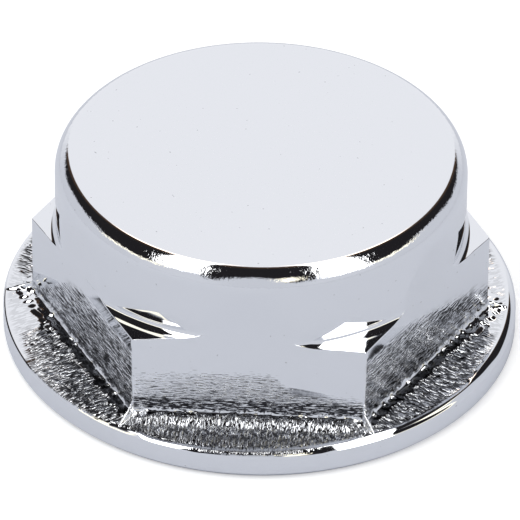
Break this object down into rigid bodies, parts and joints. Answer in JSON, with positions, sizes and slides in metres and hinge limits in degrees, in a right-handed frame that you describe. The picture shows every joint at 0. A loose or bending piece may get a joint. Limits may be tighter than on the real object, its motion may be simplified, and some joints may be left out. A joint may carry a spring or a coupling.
{
  "type": "cap nut",
  "caption": "Closed cap nut with a round flange, a hexagon that runs into a plain round crown, and a blind threaded bore, in polished chrome.",
  "frame": {"origin": "centre of the seat face, on the bore's axis", "axes": "+Z along the bore's axis from the seat to the closed crown; one flat of the hexagon faces -Y"},
  "size_m": [0.0414, 0.0414, 0.0168],
  "materials": {
    "chrome": "bright chrome over a polished crown and rim, with a rough ground foot and flange face"
  },
  "bodies": {
    "root": {"nut": "chrome"}
  },
  "joints": []
}
